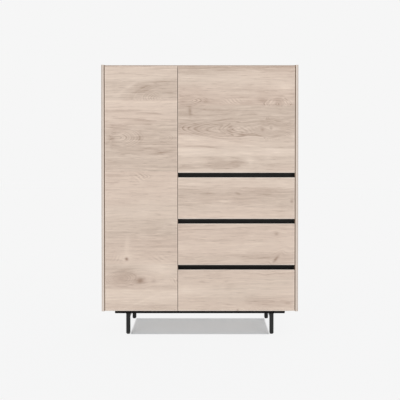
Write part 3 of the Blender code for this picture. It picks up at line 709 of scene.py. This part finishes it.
def plated(name, srgb, along_axis):
    """Plated steel with rolling lines along one axis and a faint cloud."""
    finish = Finish(name, roughness=0.3, metallic=1.0)
    place = finish.place()
    scales = [ROLLED_SCALE] * 3
    scales[along_axis] = ROLLED_ALONG_SCALE
    lines = finish.noise_at(place, scales)
    cloud = finish.noise_at(place, PLATED_CLOUD_SCALE, 3.0)
    dark, light = np.asarray(srgb) * PLATED_DARK, np.minimum(np.asarray(srgb) * PLATED_LIGHT, 255)
    stops = [(0.25, dark), (0.50, srgb), (0.75, light)]
    finish.feed("Base Color", finish.ramp(lines * 0.5 + cloud * 0.5, stops))
    finish.feed("Roughness", PLATED_ROUGHNESS + lines * ROLLED_ROUGHNESS + cloud * CLOUD_ROUGHNESS)
    finish.bump(lines, PLATED_BUMP)
    return finish.material


def set_finish(material, *names):
    """Put a material in the slots of CAD nodes."""
    for name in names:
        for slot in NODES[name].material_slots:
            slot.material = material


def nodes_with(*words):
    """Name the CAD nodes whose names hold all the words."""
    return [name for name in NODES if all(word in name for word in words)]


def dress_nodes():
    """Give every CAD node its finish."""
    set_finish(oak_front(), "tall_door", "upper_door", *nodes_with("drawer_front"))
    side_edge = (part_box("left_side")[0].y, *SIDE_EDGE)
    # The partition's and the top's front edges carry painted shade
    shaded_partition_edge = (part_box("partition")[0].y, *PARTITION_EDGE_SHADE)
    shaded_top_edge = (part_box("top_panel")[0].y, *TOP_EDGE_SHADE)
    upright_axes, level_axes = (2, 1, 0), (0, 1, 2)
    upright = oak_panel("oak_upright", *upright_axes, UPRIGHT_SEED, side_edge, SIDE_LEAVES, SIDE_HEARTS)
    set_finish(upright, "left_side", "right_side")
    set_finish(oak_panel("oak_partition", *upright_axes, UPRIGHT_SEED, shaded_partition_edge), "partition")
    top = oak_panel("oak_top", *level_axes, LEVEL_SEED, shaded_top_edge, TOP_LEAVES, TOP_HEARTS)
    set_finish(top, "top_panel")
    level = oak_panel("oak_level", *level_axes, LEVEL_SEED)
    set_finish(level, "bottom_panel", "upper_compartment_floor", *nodes_with("shelf"))
    boxes = [name for name in nodes_with("_drawer_") if name.endswith(("_side", "_back", "_bottom"))]
    set_finish(board(), "back_panel", *boxes)
    # The rails take a darker copy of the legs' black coat, as painted shade under the body
    set_finish(powder_coat("black_rail_coat_shaded", *SHADED_RAIL_COAT), "front_rail", "rear_rail")
    set_finish(powder_coat("black_leg_coat", *LEG_COAT), *nodes_with("leg_frame"))
    set_finish(black_anodised(), *nodes_with("grip_rail"))
    set_finish(plated("nickel_fitting", NICKEL, 1), *nodes_with("hinge"))
    set_finish(plated("zinc_runner", ZINC, 1), *nodes_with("runner"))
    set_finish(glide_plastic(), *nodes_with("glide"))


# Small fittings, in metres
SCREW_RADIUS = 0.0040
SCREW_HEIGHT = 0.0016
SCREW_SIDES = 24
SCREW_RINGS = 9
# Shares of a head's radius and height, and powers of its fall: pan head, button head and plug
PAN_DROP, PAN_POWER = 0.45, 3.0
CROSS_HALF_WIDTH, CROSS_SLOPE, CROSS_REACH, CROSS_END, CROSS_DEPTH = 0.22, 0.12, 0.70, 0.15, 0.6
BUTTON_DROP, BUTTON_POWER = 0.75, 2.5
SOCKET_HALF_WIDTH, SOCKET_SLOPE, SOCKET_DEPTH = 0.48, 0.08, 0.7
DOME_DROP, DOME_POWER = 0.7, 6
FLANGE_SCREW_INSET = 0.008
PLATE_THICK = 0.003
PLATE_SCREW_BACK = 0.022
PLATE_SCREW_INSET = 0.0065
ARM_FACE = 0.0120
ARM_SCREW_BACKS = (0.010, 0.026)
ARM_SCREW_RADIUS = 0.0032
SHELF_PIN_INSET = 0.045
SHELF_PIN_RADIUS = 0.0030
SHELF_PIN_COLLAR = 0.0042
SHELF_PIN_LENGTH = 0.010
SHELF_PIN_COLLAR_THICK = 0.0010
SHELF_PIN_SHOULDER = 0.0014
SHELF_PIN_ROUND, SHELF_PIN_TURN, SHELF_PIN_STEPS = 0.3, 1.5, 5
SEAT_GAP = 0.0003
PAD_RADIUS = 0.0032
PAD_HEIGHT = 0.0014
PAD_DROP, PAD_POWER = 0.8, 2.0
PAD_EDGE_INSET = 0.004
PAD_END_INSET = 0.045
PLUG_HEIGHT = 0.0026
PLUG_SQUARENESS = 7.0
CAP_THICK = 0.0011
CAP_SQUARENESS = 10.0
BOLT_RADIUS = 0.0058
BOLT_HEIGHT = 0.0012
BOLT_PLACES = (-0.30, -0.10, 0.10, 0.30)
BEAD_RADIUS = 0.0020
BEAD_RIPPLES = 7
BEAD_RIPPLE_HEIGHT = 0.10
BEAD_STEPS, BEAD_SIDES, BEAD_END_POWER = 6, 10, 8
BACK_SCREW_RADIUS = 0.0034
BACK_SCREW_HEIGHT = 0.0005
BACK_SCREW_EDGE = 0.0040
BACK_SCREW_LOW, BACK_SCREW_HIGH, BACK_SCREW_ROWS = 0.06, 0.05, 9
BOTTOM_SCREW_UP, BOTTOM_SCREW_INSET, BOTTOM_SCREWS = 0.0095, 0.12, 6
FLOOR_SCREW_INSET, FLOOR_SCREWS = 0.13, 4
CAM_RADIUS = 0.0085
CAM_HEIGHT = 0.0009
CAM_BACK = 0.032
CAM_INSETS = (0.050, 0.035)
RUNNER_SHEET = 0.0012
RUNNER_SCREW_INSET, RUNNER_SCREWS = 0.035, 4
MERGE = 0.000001
SMOOTH_ANGLE = math.radians(38)


class Shell:
    """Gathers grid surfaces and makes one closed mesh of them."""

    def __init__(self):
        self.points = []
        self.faces = []
        self.count = 0

    def add(self, grid):
        """Add a grid of points whose columns run round and close on the first."""
        rows, columns = grid.shape[:2]
        index = np.arange(rows * columns).reshape(rows, columns) + self.count
        index = np.concatenate([index, index[:, :1]], axis=1)
        quads = np.stack([index[:-1, :-1], index[:-1, 1:], index[1:, 1:], index[1:, :-1]], axis=-1)
        self.points.append(grid.reshape(-1, 3))
        self.faces.append(quads.reshape(-1, 4))
        self.count += rows * columns

    def piece(self, name, body, slot, material):
        """Make the gathered surfaces a piece that rides on a body, its poles merged and faces out."""
        mesh = bpy.data.meshes.new(name)
        mesh.from_pydata(np.concatenate(self.points).tolist(), [], np.concatenate(self.faces).tolist())
        work = bmesh.new()
        work.from_mesh(mesh)
        bmesh.ops.remove_doubles(work, verts=work.verts, dist=MERGE)
        bmesh.ops.recalc_face_normals(work, faces=work.faces)
        work.to_mesh(mesh)
        work.free()
        mesh.shade_smooth()
        mesh.set_sharp_from_angle(angle=SMOOTH_ANGLE)
        mesh.materials.append(material)
        made = bpy.data.objects.new(name, mesh)
        bpy.context.scene.collection.objects.link(made)
        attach(made, body)


def aimed(grid, place, axis):
    """Turn a grid that stands on +Z to stand on another axis at a place."""
    axis = np.asarray(axis, float)
    side = np.array([0.0, 0.0, 1.0]) if abs(axis[2]) < 0.5 else np.array([1.0, 0.0, 0.0])
    third = np.cross(axis, side)
    return grid @ np.stack([side, third, axis]) + np.asarray(place, float)


def circle(sides):
    """Give the cosines and sines of evenly spaced angles."""
    angle = np.linspace(0, 2 * np.pi, sides, endpoint=False)
    return np.cos(angle), np.sin(angle)


def turned(profile, sides):
    """Carry a profile of radius and height round Z: x, y are the radius times cosine and sine."""
    radius, height = np.asarray(profile, float).T[:, :, None]
    cosine, sine = circle(sides)
    return np.stack([radius * cosine, radius * sine, height + 0 * cosine], axis=-1)


def close_under(top):
    """Bring a crowned disc's rim down to its seat and in to the middle."""
    rim = top[-1:] * [1, 1, 0]
    return np.concatenate([top, rim, rim * 0])


def crowned(radius, height, drop, power):
    """Give a disc whose height falls by a share, drop, of itself with a power of the radius."""
    share = np.linspace(0, 1, SCREW_RINGS)
    return turned(np.stack([radius * share, height * (1 - drop * share ** power)], axis=1), SCREW_SIDES)


def cross_head(radius, height):
    """Give a pan head: a crowned disc, lowered where it is near either axis and near the middle."""
    top = crowned(radius, height, PAN_DROP, PAN_POWER)
    near_axis = np.minimum(abs(top[..., 0]), abs(top[..., 1]))
    reach = np.hypot(top[..., 0], top[..., 1])
    slot = np.clip((CROSS_HALF_WIDTH * radius - near_axis) / (CROSS_SLOPE * radius), 0, 1)
    slot = slot * np.clip((CROSS_REACH * radius - reach) / (CROSS_END * radius), 0, 1)
    top[..., 2] -= CROSS_DEPTH * height * slot
    return close_under(top)


def socket_head(radius, height):
    """Give a button head: a crowned disc, lowered inside a hexagon round its middle."""
    top = crowned(radius, height, BUTTON_DROP, BUTTON_POWER)
    turns = (0, math.pi / 3, -math.pi / 3)
    sides = [abs(top[..., 0] * math.cos(turn) + top[..., 1] * math.sin(turn)) for turn in turns]
    inside = SOCKET_HALF_WIDTH * radius - np.max(sides, axis=0)
    top[..., 2] -= SOCKET_DEPTH * height * np.clip(inside / (SOCKET_SLOPE * radius), 0, 1)
    return close_under(top)


def square_dome(half_width, half_height, height, squareness):
    """Give a plug's dome on a rounded square: the rim is a superellipse, the crown a sixth power."""
    cosine, sine = circle(4 * SCREW_SIDES)
    swell = (abs(cosine) ** squareness + abs(sine) ** squareness) ** (-1 / squareness)
    share = np.sin(np.linspace(0, math.pi / 2, SCREW_RINGS))[:, None]
    x = half_width * swell * cosine * share
    y = half_height * swell * sine * share
    z = height * (1 - DOME_DROP * share ** DOME_POWER) + 0 * x
    return close_under(np.stack([x, y, z], axis=-1))


def weld_bead(length, radius, ripples):
    """Give a bead along X: a tube whose radius ripples along it and closes to nothing at both ends."""
    along = np.linspace(-1, 1, BEAD_STEPS * ripples + 1)[:, None]
    cosine, sine = circle(BEAD_SIDES)
    ripple = 1 + BEAD_RIPPLE_HEIGHT * np.cos(math.pi * ripples * along)
    swell = radius * np.sqrt(1 - along ** BEAD_END_POWER) * ripple
    return np.stack([along * length / 2 + 0 * cosine, swell * cosine, swell * sine], axis=-1)


def add_hinge_screws(door, wall_side, material):
    """Screw each cup's flange to the door, and each arm's plate to the side panel."""
    on_door, on_wall = Shell(), Shell()
    pan, small = cross_head(SCREW_RADIUS, SCREW_HEIGHT), cross_head(ARM_SCREW_RADIUS, SCREW_HEIGHT)
    for cup in nodes_with(door + "_hinge", "_cup"):
        low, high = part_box(cup)
        for z in (low.z + FLANGE_SCREW_INSET, high.z - FLANGE_SCREW_INSET):
            on_door.add(aimed(pan, ((low.x + high.x) / 2, high.y, z), (0, 1, 0)))
    for arm in nodes_with(door + "_hinge", "_arm"):
        low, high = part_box(arm)
        wall = high.x if wall_side > 0 else low.x
        inward = (-wall_side, 0, 0)
        for z in (low.z + PLATE_SCREW_INSET, high.z - PLATE_SCREW_INSET):
            on_wall.add(aimed(pan, (wall - wall_side * PLATE_THICK, high.y - PLATE_SCREW_BACK, z), inward))
        for back in ARM_SCREW_BACKS:
            place = (wall - wall_side * ARM_FACE, high.y - back, (low.z + high.z) / 2)
            on_wall.add(aimed(small, place, inward))
    on_door.piece(door + "_hinge_screws", door, "fitting", material)
    on_wall.piece(door + "_plate_screws", "carcass", "fitting", material)


def add_shelf_pins(material):
    """Stand each shelf on four turned pins, a collar at the wall and a rounded end."""
    pins = Shell()
    radius, collar, length = SHELF_PIN_RADIUS, SHELF_PIN_COLLAR, SHELF_PIN_LENGTH
    turn = np.linspace(0, SHELF_PIN_TURN, SHELF_PIN_STEPS)
    tip = length - radius * SHELF_PIN_ROUND * (1 - np.sin(turn))
    nose = np.stack([radius * np.cos(turn), tip], axis=1)
    shoulder = [(0, 0), (collar, 0), (collar, SHELF_PIN_COLLAR_THICK), (radius, SHELF_PIN_SHOULDER)]
    pin = turned([*shoulder, *nose, (0, length)], SCREW_SIDES)
    for shelf in nodes_with("_shelf_"):
        low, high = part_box(shelf)
        for y in (low.y + SHELF_PIN_INSET, high.y - SHELF_PIN_INSET):
            z = low.z - collar
            pins.add(aimed(pin, (low.x - SEAT_GAP, y, z), (1, 0, 0)))
            pins.add(aimed(pin, (high.x + SEAT_GAP, y, z), (-1, 0, 0)))
    pins.piece("shelf_pins", "carcass", "fitting", material)


def add_door_pads(door, free_side, material):
    """Put two soft domes on the back of a door, by its free edge."""
    pads = Shell()
    dome = close_under(crowned(PAD_RADIUS, PAD_HEIGHT, PAD_DROP, PAD_POWER))
    low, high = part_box(door)
    x = high.x - PAD_EDGE_INSET if free_side > 0 else low.x + PAD_EDGE_INSET
    for z in (low.z + PAD_END_INSET, high.z - PAD_END_INSET):
        pads.add(aimed(dome, (x, high.y, z), (0, 1, 0)))
    pads.piece(door + "_pads", door, "glide", material)


def add_base_fittings(steel, plastic):
    """Close the rails' tubes with plugs, bolt the rails up to the body and weld the leg frames on."""
    plugs, bolts, beads = Shell(), Shell(), Shell()
    button = socket_head(BOLT_RADIUS, BOLT_HEIGHT)
    for rail in ("front_rail", "rear_rail"):
        low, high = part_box(rail)
        middle_y, middle_z = (low.y + high.y) / 2, (low.z + high.z) / 2
        half_y, half_z = (high.y - low.y) / 2, (high.z - low.z) / 2
        dome = square_dome(half_z, half_y, PLUG_HEIGHT, PLUG_SQUARENESS)
        plugs.add(aimed(dome, (high.x, middle_y, middle_z), (1, 0, 0)))
        plugs.add(aimed(dome, (low.x, middle_y, middle_z), (-1, 0, 0)))
        for x in BOLT_PLACES:
            bolts.add(aimed(button, (x, middle_y, low.z), (0, 0, -1)))
        bead = weld_bead(high.y - low.y, BEAD_RADIUS, BEAD_RIPPLES)[..., [1, 0, 2]]
        for leg_frame in ("left_leg_frame", "right_leg_frame"):
            leg_low, leg_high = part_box(leg_frame)
            for x in (leg_low.x, leg_high.x):
                beads.add(bead + np.array([x, middle_y, (low.z + leg_high.z) / 2]))
    plugs.piece("rail_end_plugs", "carcass", "glide", plastic)
    bolts.piece("base_bolts", "carcass", "base_black", steel)
    beads.piece("base_weld_beads", "carcass", "base_black", steel)


def add_grip_caps(material):
    """Close the end of each grip rail that shows by the tall door's edge with a thin plate."""
    caps = Shell()
    for rail in nodes_with("grip_rail"):
        low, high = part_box(rail)
        plate = square_dome((high.z - low.z) / 2, (high.y - low.y) / 2, CAP_THICK, CAP_SQUARENESS)
        caps.add(aimed(plate, (low.x, (low.y + high.y) / 2, (low.z + high.z) / 2), (-1, 0, 0)))
    caps.piece("grip_end_caps", "carcass", "grip_black", material)


def add_back_screws(material):
    """Screw the back to the sides, the partition, the floor of the upper compartment and the bottom."""
    screws = Shell()
    head = cross_head(BACK_SCREW_RADIUS, BACK_SCREW_HEIGHT)
    low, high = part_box("back_panel")
    partition_low, partition_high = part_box("partition")
    floor_low, floor_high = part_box("upper_compartment_floor")
    middle_x = (partition_low.x + partition_high.x) / 2
    columns = (low.x + BACK_SCREW_EDGE, middle_x, high.x - BACK_SCREW_EDGE)
    heights = np.linspace(low.z + BACK_SCREW_LOW, high.z - BACK_SCREW_HIGH, BACK_SCREW_ROWS)
    uprights = [(x, z) for x in columns for z in heights]
    bottom_xs = np.linspace(low.x + BOTTOM_SCREW_INSET, high.x - BOTTOM_SCREW_INSET, BOTTOM_SCREWS)
    bottoms = [(x, low.z + BOTTOM_SCREW_UP) for x in bottom_xs]
    floor_xs = np.linspace(middle_x + FLOOR_SCREW_INSET, high.x - FLOOR_SCREW_INSET, FLOOR_SCREWS)
    floors = [(x, (floor_low.z + floor_high.z) / 2) for x in floor_xs]
    for x, z in uprights + bottoms + floors:
        screws.add(aimed(head, (x, high.y, z), (0, 1, 0)))
    screws.piece("back_panel_screws", "carcass", "fitting", material)


def add_drawer_fittings(drawer, metal, cap_material):
    """Cap the fittings that hold the drawer's sides to its front, and screw the slides to the sides."""
    caps, screws = Shell(), Shell()
    cap = cross_head(CAM_RADIUS, CAM_HEIGHT)
    pan = cross_head(SCREW_RADIUS, SCREW_HEIGHT)
    for label, inward in (("left", 1), ("right", -1)):
        low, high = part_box(f"{drawer}_{label}_side")
        inner = high.x if inward > 0 else low.x
        for z in (low.z + CAM_INSETS[0], high.z - CAM_INSETS[1]):
            caps.add(aimed(cap, (inner, low.y + CAM_BACK, z), (inward, 0, 0)))
        low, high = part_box(f"{drawer}_{label}_drawer_runner")
        web = high.x - RUNNER_SHEET if inward > 0 else low.x + RUNNER_SHEET
        for y in np.linspace(low.y + RUNNER_SCREW_INSET, high.y - RUNNER_SCREW_INSET, RUNNER_SCREWS):
            screws.add(aimed(pan, (web, y, (low.z + high.z) / 2), (-inward, 0, 0)))
    caps.piece(drawer + "_fixing_caps", drawer, "board", cap_material)
    screws.piece(drawer + "_runner_screws", drawer, "runner", metal)


def add_fittings():
    """Add the small fittings that the solids leave out."""
    nickel, zinc = plated("nickel_screw", NICKEL_SCREW, 2), plated("zinc_screw", ZINC_SCREW, 2)
    steel, plastic = powder_coat("black_bolt_coat", *BOLT_COAT), glide_plastic()
    add_hinge_screws("tall_door", -1, nickel)
    add_hinge_screws("upper_door", 1, nickel)
    add_shelf_pins(nickel)
    add_door_pads("tall_door", 1, soft_pad())
    add_door_pads("upper_door", -1, soft_pad())
    add_base_fittings(steel, plastic)
    add_grip_caps(plastic)
    add_back_screws(zinc)
    for drawer in ("top_drawer", "middle_drawer", "bottom_drawer"):
        add_drawer_fittings(drawer, zinc, board())


def add_camera():
    """Set the camera, tilted a little down, so that the fronts fill the frame as in the photograph."""
    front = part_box("tall_door")[0].y
    camera = bpy.data.cameras.new("photo_camera")
    camera.sensor_width = SENSOR_WIDTH
    camera.lens = SENSOR_WIDTH * CAMERA_DISTANCE / VIEW_WIDTH_AT_FRONT
    half = PHOTO_PIXELS / 2
    camera.shift_y = (AXIS_ROW - half) / PHOTO_PIXELS
    camera.shift_x = (half - AXIS_COLUMN) / PHOTO_PIXELS
    viewer = bpy.data.objects.new("photo_camera", camera)
    viewer.location = (CAMERA_ASIDE, front - CAMERA_DISTANCE, CAMERA_HEIGHT)
    viewer.rotation_euler = (math.pi / 2 - CAMERA_TILT, 0.0, 0.0)
    bpy.context.scene.collection.objects.link(viewer)
    bpy.context.scene.camera = viewer


def add_lamp(name, place, power):
    """Add a soft square lamp that faces the object."""
    lamp = bpy.data.lights.new(name, "AREA")
    lamp.size = LAMP_SIZE
    lamp.energy = power
    holder = bpy.data.objects.new(name, lamp)
    holder.location = place
    way = np.asarray(LAMP_TARGET, float) - np.asarray(place, float)
    flat = math.hypot(way[0], way[1])
    holder.rotation_euler = (math.atan2(flat, -way[2]), 0.0, math.atan2(way[1], way[0]) - math.pi / 2)
    bpy.context.scene.collection.objects.link(holder)


def add_world():
    """Light evenly from all round, and show the page's white to the camera and to gloss."""
    world = bpy.data.worlds.new("studio")
    bpy.context.scene.world = world
    world.use_nodes = True
    tree = world.node_tree
    light = tree.nodes["Background"]
    light.inputs["Color"].default_value = (1.0, 1.0, 1.0, 1.0)
    light.inputs["Strength"].default_value = WORLD_STRENGTH
    page = tree.nodes.new("ShaderNodeBackground")
    page.inputs["Color"].default_value = linear(PAGE_WHITE)
    path = tree.nodes.new("ShaderNodeLightPath")
    seen = tree.nodes.new("ShaderNodeMath")
    seen.operation = "MAXIMUM"
    tree.links.new(path.outputs["Is Camera Ray"], seen.inputs[0])
    tree.links.new(path.outputs["Is Glossy Ray"], seen.inputs[1])
    mix = tree.nodes.new("ShaderNodeMixShader")
    tree.links.new(seen.outputs[0], mix.inputs[0])
    tree.links.new(light.outputs[0], mix.inputs[1])
    tree.links.new(page.outputs[0], mix.inputs[2])
    tree.links.new(mix.outputs[0], tree.nodes["World Output"].inputs["Surface"])


def add_floor():
    """A wide floor that glows white like the page, and less so under the object, where a shadow shows."""
    reach = np.array([-FLOOR_REACH, FLOOR_REACH])
    xs, ys = np.meshgrid(reach, reach)
    corners = np.stack([xs.ravel(), ys.ravel(), np.full(4, -FLOOR_DROP)], axis=1)
    mesh = bpy.data.meshes.new("floor")
    mesh.from_pydata(corners.tolist(), [], [(0, 1, 3, 2)])
    floor = bpy.data.objects.new("floor", mesh)
    bpy.context.scene.collection.objects.link(floor)
    finish = Finish("pale_floor", roughness=0.9)
    finish.feed("Base Color", linear(FLOOR_COLOUR))
    finish.feed("Specular IOR Level", 0.0)
    glow = finish.node("ShaderNodeEmission", {"Color": linear(PAGE_WHITE), "Strength": 1.0})
    camera_ray = finish.node("ShaderNodeLightPath", {}, output="Is Camera Ray")
    glossy_ray = finish.node("ShaderNodeLightPath", {}, output="Is Glossy Ray")
    seen = camera_ray.math("MAXIMUM", glossy_ray)
    x, y = finish.place()[:2]
    out_x = (x.math("ABSOLUTE") - SHADOW_HALF_WIDTH).math("MAXIMUM", 0.0)
    back = y - SHADOW_MIDDLE
    out_y = (back.math("ABSOLUTE") - SHADOW_HALF_DEPTH).math("MAXIMUM", 0.0)
    away = (out_x * out_x + out_y * out_y).math("SQRT")
    under = FLOOR_GLOW + back * FLOOR_GLOW_SLOPE - (back / SHADOW_HALF_DEPTH) ** 2.0 * FLOOR_GLOW_FALL
    beside = under + (FLOOR_PALE - under) * away.rise(0.0, SHADOW_FADE)
    share = beside + away.rise(SHADOW_FADE, FLOOR_PAGE_REACH) * (1.0 - FLOOR_PALE)
    lit = Field(finish, finish.shader.outputs[0])
    mixed = finish.node("ShaderNodeMixShader", [seen * share, lit, glow])
    finish.fill(finish.tree.nodes["Material Output"].inputs["Surface"], mixed)
    mesh.materials.append(finish.material)


dress_nodes()
add_fittings()
add_camera()
add_world()
for lamp_settings in LAMPS:
    add_lamp(*lamp_settings)
add_floor()
bpy.context.scene.view_settings.view_transform = "Standard"
